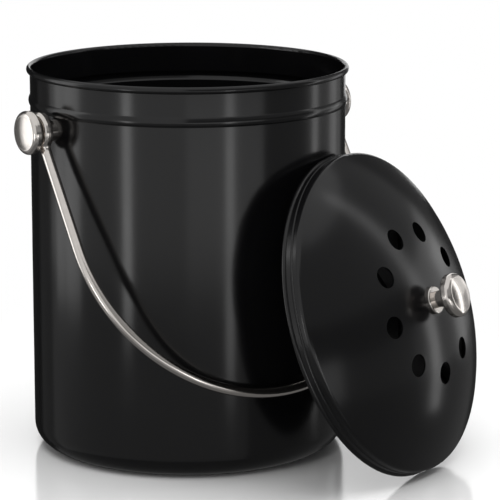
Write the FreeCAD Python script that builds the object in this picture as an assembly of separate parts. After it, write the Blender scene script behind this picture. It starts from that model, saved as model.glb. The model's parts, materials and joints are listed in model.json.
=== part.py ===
import FreeCAD, Part
import math
import os

# Counter-top compost bin: drawn steel pail, swinging bail, vented dome lid leaning on the wall
# Frame: base centre at the origin, +Z up, bail pivots along X, bail hanging on the -Y side

V = FreeCAD.Vector
ORIGIN = V(0, 0, 0)
X_AXIS = V(1, 0, 0)
Y_AXIS = V(0, 1, 0)
Z_AXIS = V(0, 0, 1)
FULL_TURN = 360.0
HALF_TURN = 180.0

# Pail
wall_radius = 87.5
sheet = 0.8
pail_height = 214.0
rim_reach = 1.9
rim_bead_height = 3.9
rib_drop = 18.9
rib_height = 5.5
rib_proud = 0.9
base_corner_radius = 12.5

# Bail and its pivots
pivot_drop = 29.0
bail_stand_off = 8.0
bail_arm_length = 70.0
bail_rod_radius = 2.9
bail_rest_gap = 0.3
eye_radius = 10.8
eye_thickness = 6.2
eye_edge_round = 2.6
neck_round = 3.0
arm_start_share = 0.80
sleeve_radius = 3.6
pivot_running_clearance = 0.08
side_clearance = 0.25
spacer_boss_radius = 5.8
knob_washer_radius = 8.0
knob_washer_thickness = 1.6
pivot_cap_thickness = 6.2
knob_cap_radius = 11.9
knob_face_rise = 0.9
cap_front_round = 2.9
cap_back_round = 1.0
pivot_screw_radius = 2.0
pivot_screw_hold = 4.4
pivot_screw_head_radius = 4.0
pivot_screw_head_height = 2.2
screw_head_round = 0.8
hex_socket_share = 0.55
hex_depth_share = 0.6
inner_washer_radius = 5.6
inner_washer_thickness = 1.0
inner_seal_radius = 6.4
inner_seal_thickness = 1.6

# Lid, in its own frame: axis up, rim plane at zero height
lid_hem_radius = 1.4
lid_hem_height = 0.45
lid_skirt_height = 9.5
lid_shoulder_radius = 3.0
lid_dome_height = 37.0
lid_groove_height = 5.2
lid_groove_radius = 1.0
lid_groove_depth = 0.4
lid_seat_radius = 9.0
vent_count = 9
vent_ring_radius = 39.5
vent_radius = 5.9
vent_first_angle = 28.9

# Lid knob
collar_radius = 7.6
collar_height = 2.0
collar_edge_round = 0.8
knob_stem_radius = 4.6
knob_stem_length = 8.9
lid_cap_thickness = 7.0
lid_screw_radius = 2.5
lid_screw_hold = 9.0
lid_screw_head_radius = 4.5
lid_screw_head_height = 2.2
lid_screw_washer_radius = 6.2
lid_screw_washer_thickness = 0.8

# Filter holder, charcoal filter and twist-on cover
holder_mouth_gap = 14.2
holder_wall = 3.0
holder_dome_gap = 0.3
spoke_count = 6
spoke_width = 6.0
spoke_thickness = 2.0
post_radius = 5.6
post_bore_clearance = 0.2
cover_thickness = 1.5
cover_recess = 0.8
cover_clearance = 0.35
lug_count = 3
lug_angle = 14.0
lug_reach = 1.4
lug_groove_clearance = 0.3
cover_twist = 25.0
notch_extra_angle = 3.0
grip_length = 46.0
grip_width = 3.2
grip_height = 4.0
slot_ring_shares = [0.30, 0.46, 0.62, 0.78]
slot_width = 5.0
slot_gap_angle = 16.0
slot_groups = 6
filter_thickness = 7.2
filter_clearance = 0.3

# How the lid leans on the pail
lid_tilt = 71.1
lid_turn = 24.4
lean_contact_angle = 27.4
lean_gap = 1.1
floor_gap = 0.0

# Cuts run past the faces they open by this much
overrun = 1.0


def line(a, b):
    return Part.makeLine(a, b)


def section(r, z):
    return V(r, 0, z)


# Values that follow from the ones above
wall_inner_radius = wall_radius - sheet
rim_outer_radius = wall_radius + rim_reach
rib_centre_height = pail_height - rib_drop
pivot_height = pail_height - pivot_drop
bail_half_span = wall_radius + bail_stand_off
bail_length = bail_arm_length + bail_half_span
bail_hang = math.degrees(math.asin((wall_radius + bail_rod_radius + bail_rest_gap) / bail_length))
eye_inner_face = bail_half_span - eye_thickness / 2
eye_outer_face = bail_half_span + eye_thickness / 2
boss_face = eye_inner_face - side_clearance
washer_face = eye_outer_face + side_clearance
cap_back = washer_face + knob_washer_thickness
lid_radius = rim_outer_radius
hem_centre_radius = lid_radius - lid_hem_radius
skirt_radius = hem_centre_radius + sheet / 2
lid_dome_rise = lid_dome_height - lid_skirt_height
dome_radius = (skirt_radius ** 2 + lid_dome_rise ** 2) / (2 * lid_dome_rise)
dome_centre_height = lid_dome_height - dome_radius


# Height of a dome skin of this radius over a ring of the lid
def dome_height(skin_radius, ring_radius):
    return dome_centre_height + math.sqrt(skin_radius ** 2 - ring_radius ** 2)


lid_seat_height = dome_height(dome_radius, lid_seat_radius)
seat_underside = dome_height(dome_radius - sheet, lid_seat_radius)
holder_outer_radius = wall_inner_radius - holder_mouth_gap
holder_inner_radius = holder_outer_radius - holder_wall
holder_top_height = dome_height(dome_radius - sheet, holder_outer_radius) - holder_dome_gap
cover_radius = holder_inner_radius - cover_clearance
spoke_bottom_height = holder_top_height - spoke_thickness
collar_top_height = lid_seat_height + collar_height
lid_cap_back = collar_top_height + knob_stem_length
screw_washer_bottom = spoke_bottom_height - lid_screw_washer_thickness
filter_top_height = screw_washer_bottom - lid_screw_head_height - filter_clearance
filter_bottom_height = filter_top_height - filter_thickness
cover_top_height = filter_bottom_height - filter_clearance
cover_bottom_height = cover_top_height - cover_thickness
holder_bottom_height = cover_bottom_height - cover_recess


def polygon(points):
    return Part.makePolygon(points + points[:1])


def spun(wire, axis=Z_AXIS):
    return Part.Face(wire).revolve(ORIGIN, axis, FULL_TURN)


def tube(outer, inner, low, high):
    ring = Part.makeCylinder(outer, high - low, V(0, 0, low))
    return ring.cut(Part.makeCylinder(inner, high - low + 2 * overrun, V(0, 0, low - overrun)))


def bar(length, width, low, high):
    return Part.makeBox(length, width, high - low, V(0, -width / 2, low))


def turned_about_z(shape, angle):
    copy = shape.copy()
    copy.rotate(ORIGIN, Z_AXIS, angle)
    return copy


def circular_edges(shape, radius, height):
    found = []
    for edge in shape.Edges:
        curve = edge.Curve
        if isinstance(curve, Part.Circle) and abs(curve.Radius - radius) < sheet / 100:
            if abs(curve.Center.z - height) < sheet / 100:
                found.append(edge)
    return found


# Pail shell: wall, rolled rim, rib and rounded base, one sheet all over
def bucket_shell():
    rib_low = rib_centre_height - rib_height / 2
    rib_high = rib_centre_height + rib_height / 2
    rim_low = pail_height - rim_bead_height
    rim_middle = pail_height - rim_bead_height / 2
    rim_centre = (rim_outer_radius + wall_inner_radius) / 2
    corner_r = wall_radius - base_corner_radius
    corner_inner = base_corner_radius - sheet
    slant = math.sqrt(0.5)
    edges = [
        line(section(0, 0), section(corner_r, 0)),
        Part.Arc(
            section(corner_r, 0),
            section(corner_r + base_corner_radius * slant, base_corner_radius * (1 - slant)),
            section(wall_radius, base_corner_radius),
        ).toShape(),
        line(section(wall_radius, base_corner_radius), section(wall_radius, rib_low)),
        Part.Arc(
            section(wall_radius, rib_low),
            section(wall_radius + rib_proud, rib_centre_height),
            section(wall_radius, rib_high),
        ).toShape(),
        line(section(wall_radius, rib_high), section(wall_radius, rim_low)),
        Part.Arc(
            section(wall_radius, rim_low),
            section(rim_outer_radius, rim_middle),
            section(rim_centre, pail_height),
        ).toShape(),
        Part.Arc(
            section(rim_centre, pail_height),
            section(wall_inner_radius + sheet / 4, rim_middle + rim_bead_height / 4),
            section(wall_inner_radius, rim_middle),
        ).toShape(),
        line(section(wall_inner_radius, rim_middle), section(wall_inner_radius, rib_high)),
        Part.Arc(
            section(wall_inner_radius, rib_high),
            section(wall_inner_radius + rib_proud, rib_centre_height),
            section(wall_inner_radius, rib_low),
        ).toShape(),
        line(section(wall_inner_radius, rib_low), section(wall_inner_radius, base_corner_radius)),
        Part.Arc(
            section(wall_inner_radius, base_corner_radius),
            section(corner_r + corner_inner * slant, base_corner_radius - corner_inner * slant),
            section(corner_r, sheet),
        ).toShape(),
        line(section(corner_r, sheet), section(0, sheet)),
        line(section(0, sheet), section(0, 0)),
    ]
    shell = spun(Part.Wire(edges))
    hole = Part.makeCylinder(
        pivot_screw_radius, 2 * (wall_radius + overrun), V(-wall_radius - overrun, 0, pivot_height), X_AXIS
    )
    return shell.cut(hole)


# Pivot stack pieces are turned about X on the right side, then copied to the left
def turned_piece(outer, inner, near, far):
    base = V(near, 0, 0)
    piece = Part.makeCylinder(outer, far - near, base, X_AXIS)
    if inner > 0:
        bore = Part.makeCylinder(inner, far - near + 2 * overrun, V(near - overrun, 0, 0), X_AXIS)
        piece = piece.cut(bore)
    return piece


def pail_column(radius):
    return Part.makeCylinder(radius, 2 * eye_radius, V(0, 0, -eye_radius))


def spacer_boss():
    ring = turned_piece(spacer_boss_radius, pivot_screw_radius, wall_inner_radius, boss_face)
    return ring.cut(pail_column(wall_radius))


def pivot_sleeve():
    return turned_piece(sleeve_radius, pivot_screw_radius, boss_face, cap_back)


def knob_washer():
    return turned_piece(knob_washer_radius, sleeve_radius, washer_face, cap_back)


def mushroom_cap(thickness):
    flat = knob_cap_radius - cap_front_round
    slant = math.sqrt(0.5)
    front = thickness - knob_face_rise
    rolls = cap_front_round * (1 - slant)
    face_sphere = (flat * flat + knob_face_rise * knob_face_rise) / (2 * knob_face_rise)
    face_middle = thickness - face_sphere + math.sqrt(face_sphere * face_sphere - flat * flat / 4)
    edges = [
        line(section(0, 0), section(knob_cap_radius - cap_back_round, 0)),
        Part.Arc(
            section(knob_cap_radius - cap_back_round, 0),
            section(knob_cap_radius - cap_back_round * (1 - slant), cap_back_round * (1 - slant)),
            section(knob_cap_radius, cap_back_round),
        ).toShape(),
        line(section(knob_cap_radius, cap_back_round), section(knob_cap_radius, front - cap_front_round)),
        Part.Arc(
            section(knob_cap_radius, front - cap_front_round),
            section(knob_cap_radius - rolls, front - rolls),
            section(flat, front),
        ).toShape(),
        Part.Arc(
            section(flat, front),
            section(flat / 2, face_middle),
            section(0, thickness),
        ).toShape(),
        line(section(0, thickness), section(0, 0)),
    ]
    return spun(Part.Wire(edges))


def pivot_knob():
    cap = mushroom_cap(pivot_cap_thickness)
    bore = Part.makeCylinder(pivot_screw_radius, pivot_screw_hold + overrun, V(0, 0, -overrun))
    cap = cap.cut(bore)
    cap.rotate(ORIGIN, Y_AXIS, FULL_TURN / 4)
    cap.translate(V(cap_back, 0, 0))
    return cap


# Screws stand on their heads: head below zero height, shank above
def cap_screw(shank_radius, shank_length, head_radius, head_height):
    head = Part.makeCylinder(head_radius, head_height, V(0, 0, -head_height))
    head = head.makeFillet(screw_head_round, circular_edges(head, head_radius, -head_height))
    socket_radius = head_radius * hex_socket_share
    corners = []
    for i in range(6):
        angle = math.radians(i * FULL_TURN / 6)
        corners.append(V(socket_radius * math.cos(angle), socket_radius * math.sin(angle), -head_height))
    socket = Part.Face(polygon(corners)).extrude(V(0, 0, head_height * hex_depth_share))
    return head.cut(socket).fuse(Part.makeCylinder(shank_radius, shank_length)).removeSplitter()


inner_stack_face = wall_inner_radius - inner_seal_thickness
inner_head_face = inner_stack_face - inner_washer_thickness


def pivot_screw():
    length = cap_back + pivot_screw_hold - inner_head_face
    screw = cap_screw(pivot_screw_radius, length, pivot_screw_head_radius, pivot_screw_head_height)
    screw.rotate(ORIGIN, Y_AXIS, FULL_TURN / 4)
    screw.translate(V(inner_head_face, 0, 0))
    return screw


def inner_washer():
    return turned_piece(inner_washer_radius, pivot_screw_radius, inner_head_face, inner_stack_face)


def inner_seal():
    ring = turned_piece(inner_seal_radius, pivot_screw_radius, inner_stack_face, wall_radius)
    return ring.common(pail_column(wall_inner_radius))


def on_side(shape, side):
    piece = turned_about_z(shape, 0 if side == "right" else HALF_TURN)
    piece.translate(V(0, 0, pivot_height))
    return piece


# Bail: round rod bent to a U, ends forged into flat eyes, hung back against the wall
def bail_eye():
    eye = turned_piece(eye_radius, 0, eye_inner_face, eye_outer_face)
    rims = [e for e in eye.Edges if isinstance(e.Curve, Part.Circle)]
    eye = eye.makeFillet(eye_edge_round, rims)
    bore_radius = sleeve_radius + pivot_running_clearance
    return eye, turned_piece(bore_radius, 0, eye_inner_face - overrun, eye_outer_face + overrun)


def bail_handle():
    top = -eye_radius * arm_start_share
    left_top = V(-bail_half_span, 0, top)
    left_low = V(-bail_half_span, 0, -bail_arm_length)
    right_low = V(bail_half_span, 0, -bail_arm_length)
    right_top = V(bail_half_span, 0, top)
    path = Part.Wire([
        line(left_top, left_low),
        Part.Arc(left_low, V(0, 0, -bail_length), right_low).toShape(),
        line(right_low, right_top),
    ])
    rod_end = Part.Wire(Part.makeCircle(bail_rod_radius, left_top, Z_AXIS))
    rod = path.makePipeShell([rod_end], True, True)
    eye, bore = bail_eye()
    bail = rod.fuse([eye, turned_about_z(eye, HALF_TURN)])
    necks = [e for e in bail.Edges if isinstance(e.Curve, Part.BSplineCurve)]
    bail = bail.makeFillet(neck_round, necks)
    bail = bail.cut(bore.fuse(turned_about_z(bore, HALF_TURN)))
    bail.rotate(ORIGIN, X_AXIS, -bail_hang)
    bail.translate(V(0, 0, pivot_height))
    return bail


# One skin of the lid, from the foot of the skirt round the shoulder and over the dome to the seat
def lid_skin(inset):
    wall = skirt_radius - inset
    dome = dome_radius - inset
    bend = lid_shoulder_radius - inset
    bend_r = skirt_radius - lid_shoulder_radius
    bend_z = dome_height(dome_radius - lid_shoulder_radius, bend_r)
    lean = math.atan2(bend_r, bend_z - dome_centre_height)
    middle = (lean + math.pi / 2) / 2
    seat_lean = math.asin(lid_seat_radius / dome)
    dome_middle = (lean + seat_lean) / 2
    foot = section(wall, lid_hem_height)
    bend_foot = section(wall, bend_z)
    bend_middle = section(bend_r + bend * math.sin(middle), bend_z + bend * math.cos(middle))
    bend_head = section(dome * math.sin(lean), dome_centre_height + dome * math.cos(lean))
    crown = section(dome * math.sin(dome_middle), dome_centre_height + dome * math.cos(dome_middle))
    seat = section(lid_seat_radius, dome_height(dome, lid_seat_radius))
    edges = [
        line(foot, bend_foot),
        Part.Arc(bend_foot, bend_middle, bend_head).toShape(),
        Part.Arc(bend_head, crown, seat).toShape(),
        line(seat, section(0, seat.z)),
    ]
    return edges, foot


# Lid sheet: rolled hem, grooved skirt, rounded shoulder, dome and flat knob seat
def lid_shell():
    top, top_foot = lid_skin(0)
    under, under_foot = lid_skin(sheet)
    ends = [
        line(top_foot, under_foot),
        line(section(0, lid_seat_height), section(0, seat_underside)),
    ]
    shell = spun(Part.Wire(Part.__sortEdges__(top + ends + under)))
    hem = Part.makeTorus(hem_centre_radius, lid_hem_radius, V(0, 0, lid_hem_height))
    shell = shell.fuse(hem)
    groove_centre = skirt_radius + lid_groove_radius - lid_groove_depth
    groove = Part.makeTorus(groove_centre, lid_groove_radius, V(0, 0, lid_groove_height))
    shell = shell.cut(groove)
    cutters = [Part.makeCylinder(lid_screw_radius, lid_dome_height, V(0, 0, lid_dome_height / 2))]
    for i in range(vent_count):
        angle = math.radians(vent_first_angle + i * FULL_TURN / vent_count)
        place = V(vent_ring_radius * math.cos(angle), vent_ring_radius * math.sin(angle), 0)
        cutters.append(Part.makeCylinder(vent_radius, lid_dome_height + overrun, place))
    return shell.cut(Part.makeCompound(cutters))


def lid_knob_collar():
    ring = Part.makeCylinder(collar_radius, collar_height, V(0, 0, lid_seat_height))
    ring = ring.makeFillet(collar_edge_round, circular_edges(ring, collar_radius, collar_top_height))
    bore_length = collar_height + 2 * overrun
    bore = Part.makeCylinder(lid_screw_radius, bore_length, V(0, 0, lid_seat_height - overrun))
    return ring.cut(bore)


def lid_knob():
    cap = mushroom_cap(lid_cap_thickness)
    cap.translate(V(0, 0, lid_cap_back))
    stem = Part.makeCylinder(knob_stem_radius, knob_stem_length + overrun, V(0, 0, collar_top_height))
    knob = cap.fuse(stem)
    bore_length = lid_screw_hold + overrun
    bore = Part.makeCylinder(lid_screw_radius, bore_length, V(0, 0, collar_top_height - overrun))
    return knob.cut(bore).removeSplitter()


def lid_knob_screw():
    length = collar_top_height + lid_screw_hold - screw_washer_bottom
    screw = cap_screw(lid_screw_radius, length, lid_screw_head_radius, lid_screw_head_height)
    screw.translate(V(0, 0, screw_washer_bottom))
    return screw


def lid_screw_washer():
    return tube(lid_screw_washer_radius, lid_screw_radius, screw_washer_bottom, spoke_bottom_height)


# Wedge of a ring between two angles, for lugs, notches and slots
def ring_sector(outer, inner, low, high, start_angle, span_angle):
    ring = Part.makeCylinder(outer, high - low, V(0, 0, low), Z_AXIS, span_angle)
    ring = ring.cut(Part.makeCylinder(inner, high - low + 2 * overrun, V(0, 0, low - overrun)))
    return turned_about_z(ring, start_angle)


def filter_holder():
    ring = tube(holder_outer_radius, holder_inner_radius, holder_bottom_height, holder_top_height)
    post_length = seat_underside - spoke_bottom_height
    pieces = [Part.makeCylinder(post_radius, post_length, V(0, 0, spoke_bottom_height))]
    middle = holder_inner_radius + holder_wall / 2
    for i in range(spoke_count):
        spoke = bar(middle, spoke_width, spoke_bottom_height, holder_top_height)
        pieces.append(turned_about_z(spoke, i * FULL_TURN / spoke_count))
    holder = ring.fuse(pieces).removeSplitter()
    groove_low = cover_bottom_height - lug_groove_clearance
    groove_high = cover_top_height + lug_groove_clearance
    groove_reach = holder_inner_radius + lug_reach + lug_groove_clearance - cover_clearance
    cutters = [
        Part.makeCylinder(
            lid_screw_radius + post_bore_clearance,
            seat_underside - spoke_bottom_height + 2 * overrun,
            V(0, 0, spoke_bottom_height - overrun),
        ),
        tube(groove_reach, holder_inner_radius - overrun, groove_low, groove_high),
    ]
    for i in range(lug_count):
        start = i * FULL_TURN / lug_count + cover_twist - lug_angle / 2 - notch_extra_angle / 2
        cutters.append(
            ring_sector(
                groove_reach,
                holder_inner_radius - overrun,
                holder_bottom_height - overrun,
                groove_high,
                start,
                lug_angle + notch_extra_angle,
            )
        )
    return holder.cut(cutters)


def charcoal_filter():
    radius = holder_inner_radius - filter_clearance
    return Part.makeCylinder(radius, filter_thickness, V(0, 0, filter_bottom_height))


def filter_cover():
    plate = Part.makeCylinder(cover_radius, cover_thickness, V(0, 0, cover_bottom_height))
    slots = []
    for share in slot_ring_shares:
        middle = share * holder_inner_radius
        for i in range(slot_groups):
            start = i * FULL_TURN / slot_groups + slot_gap_angle / 2
            slots.append(
                ring_sector(
                    middle + slot_width / 2,
                    middle - slot_width / 2,
                    cover_bottom_height - overrun,
                    cover_top_height + overrun,
                    start,
                    FULL_TURN / slot_groups - slot_gap_angle,
                )
            )
    plate = plate.cut(slots)
    adds = []
    for i in range(lug_count):
        start = i * FULL_TURN / lug_count - lug_angle / 2
        adds.append(
            ring_sector(
                cover_radius + lug_reach,
                cover_radius - lug_reach,
                cover_bottom_height,
                cover_top_height,
                start,
                lug_angle,
            )
        )
    grip = bar(grip_length, grip_width, cover_bottom_height - grip_height, cover_bottom_height)
    grip.translate(V(-grip_length / 2, 0, 0))
    return plate.fuse(adds + [grip]).removeSplitter()


# Lean: tip the axis over, turn it, stand the hem on the floor and rest its top on the wall
def lid_placement():
    tilt = FreeCAD.Rotation(X_AXIS, lid_tilt)
    turn = FreeCAD.Rotation(Z_AXIS, lid_turn)
    rise = lid_radius * math.sin(math.radians(lid_tilt))
    reach = lid_radius * math.cos(math.radians(lid_tilt))
    contact = math.radians(lean_contact_angle)
    heading = math.radians(lid_turn)
    contact_radius = wall_radius + lean_gap
    centre = V(
        contact_radius * math.sin(contact) + reach * math.sin(heading),
        -contact_radius * math.cos(contact) - reach * math.cos(heading),
        rise + floor_gap,
    )
    return FreeCAD.Placement(centre, turn.multiply(tilt))


def leaning(shape):
    placed = shape.copy()
    placed.transformShape(lid_placement().toMatrix())
    return placed


PIVOT_PIECES = {
    "spacer_boss": spacer_boss,
    "pivot_sleeve": pivot_sleeve,
    "knob_washer": knob_washer,
    "pivot_knob": pivot_knob,
    "pivot_screw": pivot_screw,
    "inner_washer": inner_washer,
    "inner_seal": inner_seal,
}
LID_PIECES = {
    "lid_shell": lid_shell,
    "lid_knob": lid_knob,
    "lid_knob_collar": lid_knob_collar,
    "lid_knob_screw": lid_knob_screw,
    "lid_screw_washer": lid_screw_washer,
    "filter_holder": filter_holder,
    "charcoal_filter": charcoal_filter,
    "filter_cover": filter_cover,
}


def all_nodes():
    nodes = {"bucket_shell": bucket_shell(), "bail_handle": bail_handle()}
    for name, make in PIVOT_PIECES.items():
        piece = make()
        for side in ("left", "right"):
            nodes[side + "_" + name] = on_side(piece, side)
    for name, make in LID_PIECES.items():
        nodes[name] = leaning(make())
    return nodes


os.makedirs("parts", exist_ok=True)
for node, shape in all_nodes().items():
    shape.exportStep("parts/" + node + ".step")
    print(node, shape.isValid(), len(shape.Solids), round(shape.Volume))
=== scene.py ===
# %% [markdown]
# A counter-top compost bin: a drawn steel pail in black enamel, a polished bail that swings on two
# mushroom knobs, and a vented dome lid that has been lifted off and leans on the wall.
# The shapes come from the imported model, which is loaded here and never moved. This lesson gives
# each piece its finish, swaps the plain filter disc for a felt pad, and sets up a small studio.

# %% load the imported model
import json
import math

import bmesh
import bpy
from mathutils import Matrix, Vector, noise


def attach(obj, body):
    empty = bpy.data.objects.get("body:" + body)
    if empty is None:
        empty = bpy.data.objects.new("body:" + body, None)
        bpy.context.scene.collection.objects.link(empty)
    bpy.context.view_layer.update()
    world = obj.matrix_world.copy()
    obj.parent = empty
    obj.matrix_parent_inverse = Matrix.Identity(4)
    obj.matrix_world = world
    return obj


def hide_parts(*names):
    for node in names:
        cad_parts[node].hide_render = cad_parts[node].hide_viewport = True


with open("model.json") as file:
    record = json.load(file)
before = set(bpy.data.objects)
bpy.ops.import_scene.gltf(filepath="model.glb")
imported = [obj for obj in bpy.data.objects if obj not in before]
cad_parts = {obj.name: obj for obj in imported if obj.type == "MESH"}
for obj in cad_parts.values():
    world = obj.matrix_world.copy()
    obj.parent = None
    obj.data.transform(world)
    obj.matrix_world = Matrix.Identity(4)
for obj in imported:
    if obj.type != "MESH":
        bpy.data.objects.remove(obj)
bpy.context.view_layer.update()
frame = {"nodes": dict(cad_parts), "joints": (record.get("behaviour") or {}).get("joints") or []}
nodes = frame["nodes"]
scene = bpy.context.scene
scene.view_settings.view_transform = "Standard"

# %% [markdown]
# The camera stands where the picture was taken from. A long lens from about a metre and a half keeps
# the pail's sides almost parallel. Its place was found by fitting the rim, the raised rib, the wall
# and the base edge to the picture, so the pail's outlines fall where they should.

# %% camera
SENSOR_MM = 36.0
LENS_MM = 201.46
CAMERA_PLACE = Vector((-0.8490, -1.2832, 0.4333))
CAMERA_LOOK = Vector((0.55805, 0.80370, -0.20659)).normalized()
PAIL_MIDDLE = Vector((0, 0, 0.1))

camera_data = bpy.data.cameras.new("camera")
camera_data.sensor_width = SENSOR_MM
camera_data.lens = LENS_MM
camera_data.clip_start = 0.05
camera_data.clip_end = 50.0
camera = bpy.data.objects.new("camera", camera_data)
camera.location = CAMERA_PLACE
camera.rotation_mode = "QUATERNION"
camera.rotation_quaternion = CAMERA_LOOK.to_track_quat("-Z", "Y")
scene.collection.objects.link(camera)
scene.camera = camera
print("camera", round((CAMERA_PLACE - PAIL_MIDDLE).length, 3), "m from the pail")

# %% [markdown]
# Every finish below is written with the same few helpers. One turns a screen colour, as a hex value,
# into the linear light that a shader works in. One adds a node, sets it and links it. Patterns are
# given in millimetres, and a noise texture counts how many times it repeats in a metre.

# %% helpers for materials
MM = 0.001
NOISE_LOW = 0.3
NOISE_HIGH = 0.7


def linear(hex_colour):
    channels = [int(hex_colour[i:i + 2], 16) / 255 for i in (1, 3, 5)]
    straight = [c / 12.92 if c <= 0.04045 else ((c + 0.055) / 1.055) ** 2.4 for c in channels]
    return (*straight, 1.0)


def add(tree, kind, settings=None, values=None, links=None):
    node = tree.nodes.new(kind)
    for name, value in (settings or {}).items():
        setattr(node, name, value)
    for socket, value in (values or {}).items():
        node.inputs[socket].default_value = value
    for socket, source in (links or {}).items():
        tree.links.new(source, node.inputs[socket])
    return node


def new_material(name):
    material = bpy.data.materials.new(name)
    material.use_nodes = True
    material.node_tree.nodes.clear()
    return material, material.node_tree


def per_metre(size_mm):
    return 1.0 / (size_mm * MM)


def paint(material, *names):
    for name in names:
        nodes[name].data.materials.clear()
        nodes[name].data.materials.append(material)
    print(material.name, "on", len(names), "nodes")


print("middle grey as linear light:", round(linear("#808080")[0], 3))

# %% [markdown]
# The pail and the lid are drawn steel with a stoved black enamel. Sprayed enamel is never quite flat:
# it dries with a very fine orange peel, about a millimetre and a half from crest to crest, and its
# gloss drifts a little over a hand's breadth. A noise bump gives the first and a slow noise on the
# roughness gives the second, so the lamp bands keep soft, slightly uneven edges.

# %% stoved black enamel on steel
ENAMEL_BLACK = "#060607"
ENAMEL_BLACK_THIN = "#0B0B0C"
ENAMEL_IOR = 1.5
PAIL_ROUGHNESS = (0.15, 0.19)
LID_ROUGHNESS = (0.17, 0.22)
ORANGE_PEEL_MM = 1.6
ORANGE_PEEL_DEPTH_MM = 0.0012
GLOSS_DRIFT_MM = 60.0


def black_enamel(name, low, high):
    material, tree = new_material(name)
    place = add(tree, "ShaderNodeTexCoord")
    drift = add(tree, "ShaderNodeTexNoise", values={"Scale": per_metre(GLOSS_DRIFT_MM), "Detail": 3.0},
                links={"Vector": place.outputs["Object"]})
    gloss = add(tree, "ShaderNodeMapRange",
                values={"From Min": NOISE_LOW, "From Max": NOISE_HIGH, "To Min": low, "To Max": high},
                links={"Value": drift.outputs["Fac"]})
    tone = add(tree, "ShaderNodeMix", {"data_type": "RGBA"},
               {"A": linear(ENAMEL_BLACK), "B": linear(ENAMEL_BLACK_THIN)},
               {"Factor": drift.outputs["Fac"]})
    peel = add(tree, "ShaderNodeTexNoise", values={"Scale": per_metre(ORANGE_PEEL_MM), "Detail": 1.0},
               links={"Vector": place.outputs["Object"]})
    bump = add(tree, "ShaderNodeBump", values={"Strength": 1.0, "Distance": ORANGE_PEEL_DEPTH_MM * MM},
               links={"Height": peel.outputs["Fac"]})
    shader = add(tree, "ShaderNodeBsdfPrincipled", values={"IOR": ENAMEL_IOR, "Metallic": 0.0},
                 links={"Base Color": tone.outputs["Result"], "Roughness": gloss.outputs["Result"],
                        "Normal": bump.outputs["Normal"]})
    add(tree, "ShaderNodeOutputMaterial", links={"Surface": shader.outputs["BSDF"]})
    return material


paint(black_enamel("stoved_black_enamel_pail", *PAIL_ROUGHNESS), "bucket_shell")
paint(black_enamel("stoved_black_enamel_lid", *LID_ROUGHNESS), "lid_shell")

# %% [markdown]
# The bail, the knobs and the small bosses are polished stainless steel, and the screws, washers and
# sleeves are plain. Buffing leaves hair lines far finer than a pixel, so they are drawn coarse enough
# to show as a faint change of tone and gloss.

# %% polished and plain stainless steel
POLISHED_STEEL = "#EFE9E4"
POLISHED_STEEL_DEEP = "#E2DCD6"
POLISHED_ROUGHNESS = (0.14, 0.19)
BUFFING_MARK_MM = 3.0
PLAIN_STEEL = "#C4C4C2"
PLAIN_STEEL_DEEP = "#A9A9A7"
PLAIN_ROUGHNESS = (0.22, 0.34)
TURNING_MARK_MM = 0.8
SIDES = ("left", "right")


def stainless(name, bright, deep, mark_mm, low, high):
    material, tree = new_material(name)
    place = add(tree, "ShaderNodeTexCoord")
    marks = add(tree, "ShaderNodeTexNoise", values={"Scale": per_metre(mark_mm), "Detail": 4.0},
                links={"Vector": place.outputs["Object"]})
    tone = add(tree, "ShaderNodeMix", {"data_type": "RGBA"},
               {"A": linear(bright), "B": linear(deep)}, {"Factor": marks.outputs["Fac"]})
    gloss = add(tree, "ShaderNodeMapRange",
                values={"From Min": NOISE_LOW, "From Max": NOISE_HIGH, "To Min": low, "To Max": high},
                links={"Value": marks.outputs["Fac"]})
    shader = add(tree, "ShaderNodeBsdfPrincipled", values={"Metallic": 1.0},
                 links={"Base Color": tone.outputs["Result"], "Roughness": gloss.outputs["Result"]})
    add(tree, "ShaderNodeOutputMaterial", links={"Surface": shader.outputs["BSDF"]})
    return material


def both(*names):
    return [side + "_" + name for name in names for side in SIDES]


polished = stainless("polished_stainless_steel", POLISHED_STEEL, POLISHED_STEEL_DEEP, BUFFING_MARK_MM,
                     *POLISHED_ROUGHNESS)
plain = stainless("plain_stainless_steel", PLAIN_STEEL, PLAIN_STEEL_DEEP, TURNING_MARK_MM,
                  *PLAIN_ROUGHNESS)
paint(polished, "bail_handle", "lid_knob", "lid_knob_collar", *both("pivot_knob", "spacer_boss"))
paint(plain, "lid_knob_screw", "lid_screw_washer", *both("pivot_screw", "inner_washer", "pivot_sleeve"))

# %% [markdown]
# The black pieces that nobody polishes are moulded. Nylon washers keep the knobs off the bail eyes,
# polypropylene makes the filter holder and its twist-on cover, and rubber seals the screw holes.
# A fine spark-eroded grain in the mould shows as a soft, even sheen.

# %% moulded nylon, polypropylene and rubber
MOULD_GRAIN_MM = 0.6
MOULD_GRAIN_DEPTH_MM = 0.02
MOULDED_IOR = 1.5
NYLON_ROUGHNESS = 0.45
POLYPROPYLENE_ROUGHNESS = 0.42
RUBBER_ROUGHNESS = 0.75


def moulded(name, dark, light, roughness):
    material, tree = new_material(name)
    place = add(tree, "ShaderNodeTexCoord")
    grain = add(tree, "ShaderNodeTexNoise", values={"Scale": per_metre(MOULD_GRAIN_MM), "Detail": 2.0},
                links={"Vector": place.outputs["Object"]})
    tone = add(tree, "ShaderNodeMix", {"data_type": "RGBA"},
               {"A": linear(dark), "B": linear(light)}, {"Factor": grain.outputs["Fac"]})
    bump = add(tree, "ShaderNodeBump", values={"Strength": 0.6, "Distance": MOULD_GRAIN_DEPTH_MM * MM},
               links={"Height": grain.outputs["Fac"]})
    shader = add(tree, "ShaderNodeBsdfPrincipled", values={"IOR": MOULDED_IOR, "Roughness": roughness},
                 links={"Base Color": tone.outputs["Result"], "Normal": bump.outputs["Normal"]})
    add(tree, "ShaderNodeOutputMaterial", links={"Surface": shader.outputs["BSDF"]})
    return material


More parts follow.
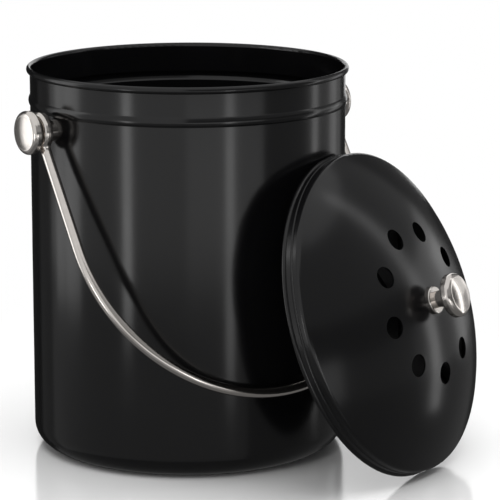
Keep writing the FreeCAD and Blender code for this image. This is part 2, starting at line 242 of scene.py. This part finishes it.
nylon = moulded("black_nylon", "#0C0C0C", "#141414", NYLON_ROUGHNESS)
polypropylene = moulded("black_polypropylene", "#0B0B0C", "#121213", POLYPROPYLENE_ROUGHNESS)
rubber = moulded("black_rubber", "#101010", "#181818", RUBBER_ROUGHNESS)
paint(nylon, *both("knob_washer"))
paint(polypropylene, "filter_holder", "filter_cover")
paint(rubber, *both("inner_seal"))

# %% [markdown]
# The lid leans, so nothing on it is level. Its own axis is read from the joint that the filter cover
# twists on, and a matrix carries points into a frame where that axis is upright. There the filter
# disc can be measured as if it lay flat on the bench.

# %% the lid's own frame
cover_joint = next(joint for joint in frame["joints"] if joint["name"] == "cover_twist")
lid_centre = Vector(cover_joint["pos_m"])
lid_axis = Vector(cover_joint["axis"]).normalized()
lid_frame = Matrix.Translation(lid_centre) @ lid_axis.to_track_quat("Z", "Y").to_matrix().to_4x4()
to_lid = lid_frame.inverted()
disc_points = [to_lid @ vertex.co for vertex in nodes["charcoal_filter"].data.vertices]
disc_low = min(point.z for point in disc_points)
disc_high = max(point.z for point in disc_points)
disc_radius = max(point.xy.length for point in disc_points)
print("filter disc: radius", round(disc_radius / MM, 2), "mm")
print("filter disc: thickness", round((disc_high - disc_low) / MM, 2), "mm")

# %% [markdown]
# The charcoal filter is a cut round of carbon-loaded felt. It could stay a plain disc, but felt has
# soft edges and a face that is never quite flat. A circle is extruded, its edges are bevelled round,
# the faces are divided into rings, and a slow noise sinks them by less than half a millimetre.
# The pad never grows past the disc, so it still fits its holder.

# %% felt pad
PAD_SEGMENTS = 96
PAD_RINGS = 14
PAD_EDGE_MM = 1.6
PAD_EDGE_SEGMENTS = 4
PAD_RIM_ANGLE = 1.0
PAD_FACE_MM = 2.5
PAD_SWELL_MM = 0.35
PAD_SWELL_WAVE_MM = 17.0

pad_mesh = bmesh.new()
bmesh.ops.create_circle(pad_mesh, cap_ends=True, segments=PAD_SEGMENTS, radius=disc_radius)
side = bmesh.ops.extrude_face_region(pad_mesh, geom=pad_mesh.faces[:])
lifted = [item for item in side["geom"] if isinstance(item, bmesh.types.BMVert)]
bmesh.ops.translate(pad_mesh, verts=lifted, vec=(0, 0, disc_high - disc_low))
bmesh.ops.translate(pad_mesh, verts=pad_mesh.verts[:], vec=(0, 0, disc_low))
rims = [edge for edge in pad_mesh.edges if edge.is_manifold and edge.calc_face_angle() > PAD_RIM_ANGLE]
bmesh.ops.bevel(pad_mesh, geom=rims, offset=PAD_EDGE_MM * MM, segments=PAD_EDGE_SEGMENTS, profile=0.5,
                affect="EDGES", material=-1)
caps = [face for face in pad_mesh.faces if len(face.verts) == PAD_SEGMENTS]
ring_step = (disc_radius - PAD_EDGE_MM * MM) / (PAD_RINGS + 1)
for ring in range(PAD_RINGS):
    bmesh.ops.inset_region(pad_mesh, faces=caps, thickness=ring_step, use_even_offset=True)
middle = (disc_low + disc_high) / 2
for vertex in pad_mesh.verts:
    rise = vertex.co.z - middle
    wave = noise.noise(vertex.co / (PAD_SWELL_WAVE_MM * MM))
    sink = PAD_SWELL_MM * MM * (0.5 + 0.5 * wave)
    if abs(rise) > PAD_FACE_MM * MM:
        vertex.co.z -= math.copysign(sink, rise)
bmesh.ops.recalc_face_normals(pad_mesh, faces=pad_mesh.faces[:])
bmesh.ops.transform(pad_mesh, matrix=lid_frame, verts=pad_mesh.verts[:])
pad_data = bpy.data.meshes.new("charcoal_pad")
pad_mesh.to_mesh(pad_data)
pad_mesh.free()
pad_data.shade_smooth()
charcoal_pad = bpy.data.objects.new("charcoal_pad", pad_data)
scene.collection.objects.link(charcoal_pad)
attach(charcoal_pad, "lid")
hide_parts("charcoal_filter")
print("felt pad:", len(pad_data.vertices), "vertices")

# %% [markdown]
# Felt is a mat of short fibres, dark with carbon and paler where they clump. A fine, twisted noise
# lifts the fibres as bump, a broader one shifts the grey, and a little sheen gives the fuzzy edge.
# Real fibres are finer than a pixel, so they are drawn almost a millimetre wide.

# %% carbon-loaded felt
FELT_DARK = "#0E0E0F"
FELT_PALE = "#242425"
FIBRE_MM = 0.9
CLUMP_MM = 6.0
FIBRE_DEPTH_MM = 0.25
FELT_ROUGHNESS = 0.95
FELT_SHEEN = 0.3

felt, tree = new_material("carbon_loaded_felt")
place = add(tree, "ShaderNodeTexCoord")
fibre = add(tree, "ShaderNodeTexNoise",
            values={"Scale": per_metre(FIBRE_MM), "Detail": 6.0, "Distortion": 1.5},
            links={"Vector": place.outputs["Object"]})
clump = add(tree, "ShaderNodeTexNoise", values={"Scale": per_metre(CLUMP_MM), "Detail": 2.0},
            links={"Vector": place.outputs["Object"]})
tone = add(tree, "ShaderNodeMix", {"data_type": "RGBA"},
           {"A": linear(FELT_DARK), "B": linear(FELT_PALE)}, {"Factor": clump.outputs["Fac"]})
bump = add(tree, "ShaderNodeBump", values={"Strength": 0.9, "Distance": FIBRE_DEPTH_MM * MM},
           links={"Height": fibre.outputs["Fac"]})
shader = add(tree, "ShaderNodeBsdfPrincipled",
             values={"Roughness": FELT_ROUGHNESS, "Sheen Weight": FELT_SHEEN},
             links={"Base Color": tone.outputs["Result"], "Normal": bump.outputs["Normal"]})
add(tree, "ShaderNodeOutputMaterial", links={"Surface": shader.outputs["BSDF"]})
charcoal_pad.data.materials.append(felt)
print("felt on", charcoal_pad.name)

# %% [markdown]
# The bin stands on a sheet of white acrylic under clear lacquer. The two glossy layers mirror the
# foot of the pail. The sheet thins out to the white surround, so no horizon shows, and it is hidden
# from reflections, because the cards further down decide what the enamel mirrors.

# %% floor
FLOOR_HALF = 2.0
FLOOR_SOLID_RADIUS = 0.18
FLOOR_FADE_RADIUS = 0.34
FLOOR_DROP = 0.0002
ACRYLIC_WHITE = "#F4F4F4"
ACRYLIC_ROUGHNESS = 0.14
ACRYLIC_IOR = 1.49

floor_mesh = bmesh.new()
bmesh.ops.create_grid(floor_mesh, x_segments=1, y_segments=1, size=FLOOR_HALF)
bmesh.ops.translate(floor_mesh, verts=floor_mesh.verts[:], vec=(0, 0, -FLOOR_DROP))
floor_data = bpy.data.meshes.new("floor")
floor_mesh.to_mesh(floor_data)
floor_mesh.free()
floor = bpy.data.objects.new("floor", floor_data)
scene.collection.objects.link(floor)
floor.visible_glossy = False

acrylic, tree = new_material("white_acrylic_sheet")
place = add(tree, "ShaderNodeTexCoord")
reach = add(tree, "ShaderNodeVectorMath", {"operation": "LENGTH"}, links={0: place.outputs["Object"]})
fade = add(tree, "ShaderNodeMapRange", {"interpolation_type": "SMOOTHSTEP"},
           {"From Min": FLOOR_SOLID_RADIUS, "From Max": FLOOR_FADE_RADIUS},
           {"Value": reach.outputs["Value"]})
sheet = add(tree, "ShaderNodeBsdfPrincipled",
            values={"Base Color": linear(ACRYLIC_WHITE), "Roughness": ACRYLIC_ROUGHNESS,
                    "IOR": ACRYLIC_IOR, "Coat Weight": 1.0, "Coat Roughness": ACRYLIC_ROUGHNESS,
                    "Coat IOR": ACRYLIC_IOR})
gone = add(tree, "ShaderNodeBsdfTransparent")
mixed = add(tree, "ShaderNodeMixShader",
            links={0: fade.outputs["Result"], 1: sheet.outputs["BSDF"], 2: gone.outputs["BSDF"]})
add(tree, "ShaderNodeOutputMaterial", links={"Surface": mixed.outputs["Shader"]})
floor.data.materials.append(acrylic)
print("floor fades out at", FLOOR_FADE_RADIUS, "m")

# %% [markdown]
# The surround is plain white where the camera, a shiny surface or clear glass looks at it. For the
# light that it sheds on the pieces it is dimmer, so that their colours render about as written.

# %% white surround
SURROUND_LIGHT = 0.55
SURROUND_SEEN = 1.0

surround = bpy.data.worlds.new("white_surround")
scene.world = surround
surround.use_nodes = True
tree = surround.node_tree
tree.nodes.clear()
path = add(tree, "ShaderNodeLightPath")
seen = add(tree, "ShaderNodeMath", {"operation": "MAXIMUM"},
           links={0: path.outputs["Is Camera Ray"], 1: path.outputs["Is Glossy Ray"]})
seen = add(tree, "ShaderNodeMath", {"operation": "MAXIMUM"},
           links={0: seen.outputs["Value"], 1: path.outputs["Is Transmission Ray"]})
level = add(tree, "ShaderNodeMapRange", values={"To Min": SURROUND_LIGHT, "To Max": SURROUND_SEEN},
            links={"Value": seen.outputs["Value"]})
white = add(tree, "ShaderNodeBackground", values={"Color": (1, 1, 1, 1)},
            links={"Strength": level.outputs["Result"]})
add(tree, "ShaderNodeOutputWorld", links={"Surface": white.outputs["Background"]})
print("surround sheds", SURROUND_LIGHT, "and is seen at", SURROUND_SEEN)

# %% [markdown]
# Black gloss shows nothing but what stands around it, so the lamps are placed by what each part of
# the wall mirrors. Places are given as an angle from the camera, to the right of it when positive,
# and a distance from the pail, because that is how the bands are read off the picture.

# %% places round the pail
LOOK_FLAT = Vector((CAMERA_LOOK.x, CAMERA_LOOK.y, 0)).normalized()
RIGHT_FLAT = Vector((LOOK_FLAT.y, -LOOK_FLAT.x, 0))


def round_pail(angle, distance, height):
    turn = math.radians(angle)
    return (RIGHT_FLAT * math.sin(turn) - LOOK_FLAT * math.cos(turn)) * distance + Vector((0, 0, height))


print("one metre to the right of the pail:", [round(c, 3) for c in round_pail(90, 1.0, 0)])

# %% [markdown]
# Tall soft boxes make the upright bands on the enamel. Each is an area lamp whose power is worked out
# from how bright its face looks, so a band's level can be set directly. A broad box overhead lights
# the floor and gives the soft shadow. It is kept out of reflections, where it would wash out the lid.

# %% soft boxes
LAMP_DISTANCE = 0.55
OVERHEAD_ANGLE = 20
OVERHEAD_DISTANCE = 0.25
OVERHEAD_HEIGHT = 1.30
OVERHEAD_SIDE = 1.4
OVERHEAD_RADIANCE = 3.3
OVERHEAD_AIM = Vector((0, 0, 0.12))


def soft_box(name, place, aim, width, tall, radiance):
    lamp = bpy.data.lights.new(name, "AREA")
    lamp.shape = "RECTANGLE"
    lamp.size = width
    lamp.size_y = tall
    lamp.energy = radiance * math.pi * width * tall
    box = bpy.data.objects.new(name, lamp)
    box.location = place
    box.rotation_mode = "QUATERNION"
    box.rotation_quaternion = (aim - place).to_track_quat("-Z", "Y")
    box.visible_camera = False
    scene.collection.objects.link(box)
    print(name, "radiance", radiance)
    return box


def upright(name, angle, width, low, high, radiance):
    height = (low + high) / 2
    place = round_pail(angle, LAMP_DISTANCE, height)
    soft_box(name, place, Vector((0, 0, height)), width, high - low, radiance)


upright("left_rear_box", -98, 0.10, -0.02, 0.55, 0.8)
upright("left_front_box", -85, 0.14, -0.02, 0.55, 1.15)
upright("front_left_strip", -40, 0.060, -0.03, 0.16, 2.6)
upright("front_right_strip", 29, 0.055, -0.07, 0.15, 1.7)
upright("right_low_strip", 99, 0.060, -0.10, 0.16, 1.5)
upright("right_tall_strip", 99, 0.060, 0.16, 0.75, 1.1)
upright("right_rear_strip", 124, 0.110, -0.02, 0.20, 0.5)
overhead_place = round_pail(OVERHEAD_ANGLE, OVERHEAD_DISTANCE, OVERHEAD_HEIGHT)
overhead = soft_box("overhead_box", overhead_place, OVERHEAD_AIM, OVERHEAD_SIDE, OVERHEAD_SIDE,
                    OVERHEAD_RADIANCE)
overhead.visible_glossy = False

# %% [markdown]
# Curved cards, from black to nearly white, fill the gaps between the boxes. Only reflections see
# them, so they shade the enamel and the steel without lighting anything. Each card is one upright
# edge that is spun about the pail, between two angles from the camera, and glows at its own level.
# Black ones behind the pail keep the far edges of its wall dark.

# %% reflector cards
CARD_RADIUS = 0.72
CARD_STEP_DEGREES = 6.0
CARD_SEGMENTS = 48
CARD_FOOT = -0.45
CARD_SILL = -0.03
CARD_LIP = 0.09
CARD_TOP = 0.14
PANE_TOP = 0.30
CARD_ROOF = 0.80


def stage_card(name, card_mesh, level):
    data = bpy.data.meshes.new(name)
    card_mesh.to_mesh(data)
    card_mesh.free()
    material, tree = new_material(name)
    glow = add(tree, "ShaderNodeEmission", values={"Strength": level})
    add(tree, "ShaderNodeOutputMaterial", links={"Surface": glow.outputs["Emission"]})
    data.materials.append(material)
    card = bpy.data.objects.new(name, data)
    card.visible_camera = False
    card.visible_diffuse = False
    card.visible_shadow = False
    scene.collection.objects.link(card)


def wall_card(name, start, end, low, high, level):
    card_mesh = bmesh.new()
    foot = card_mesh.verts.new(round_pail(start, CARD_RADIUS, low))
    head = card_mesh.verts.new(round_pail(start, CARD_RADIUS, high))
    edge = card_mesh.edges.new((foot, head))
    bmesh.ops.spin(card_mesh, geom=[foot, head, edge], cent=(0, 0, 0), axis=(0, 0, 1),
                   angle=math.radians(end - start), steps=math.ceil((end - start) / CARD_STEP_DEGREES))
    stage_card(name, card_mesh, level)


def flat_card(name, height, level):
    card_mesh = bmesh.new()
    bmesh.ops.create_circle(card_mesh, cap_ends=True, segments=CARD_SEGMENTS, radius=CARD_RADIUS)
    bmesh.ops.translate(card_mesh, verts=card_mesh.verts[:], vec=(0, 0, height))
    stage_card(name, card_mesh, level)


wall_card("left_low_card", -112, 42, CARD_FOOT, CARD_SILL, 0.24)
wall_card("left_card", -112, -50, CARD_SILL, CARD_ROOF, 0.55)
wall_card("front_left_card", -50, 0, CARD_SILL, CARD_ROOF, 0.66)
wall_card("front_card", 0, 36, CARD_SILL, CARD_TOP, 0.92)
wall_card("front_right_card", 36, 54, CARD_SILL, CARD_TOP, 0.80)
wall_card("right_front_card", 54, 90, CARD_SILL, CARD_TOP, 0.20)
wall_card("right_card", 90, 142, CARD_SILL, CARD_TOP, 0.30)
wall_card("right_low_card", 42, 142, CARD_FOOT, CARD_SILL, 0.13)
wall_card("right_middle_card", 0, 100, CARD_TOP, PANE_TOP, 0.10)
wall_card("right_pane_card", 100, 136, CARD_TOP, PANE_TOP, 0.68)
wall_card("right_high_card", 0, 136, PANE_TOP, CARD_ROOF, 0.24)
wall_card("right_rear_high_card", 136, 156, CARD_TOP, CARD_ROOF, 0.08)
wall_card("right_rear_card", 142, 156, CARD_FOOT, CARD_TOP, 0.03)
wall_card("right_rear_edge_card", 156, 166, CARD_FOOT, CARD_LIP, 0.03)
wall_card("rear_low_card", 166, 196, CARD_FOOT, CARD_SILL, 0.03)
wall_card("left_rear_card", 196, 228, CARD_FOOT, CARD_ROOF, 0.02)
wall_card("left_edge_card", 228, 248, CARD_FOOT, CARD_ROOF, 0.09)
flat_card("ceiling_card", CARD_ROOF, 0.70)
flat_card("under_card", CARD_FOOT, 0.12)
print("cards stand", CARD_RADIUS, "m from the pail")
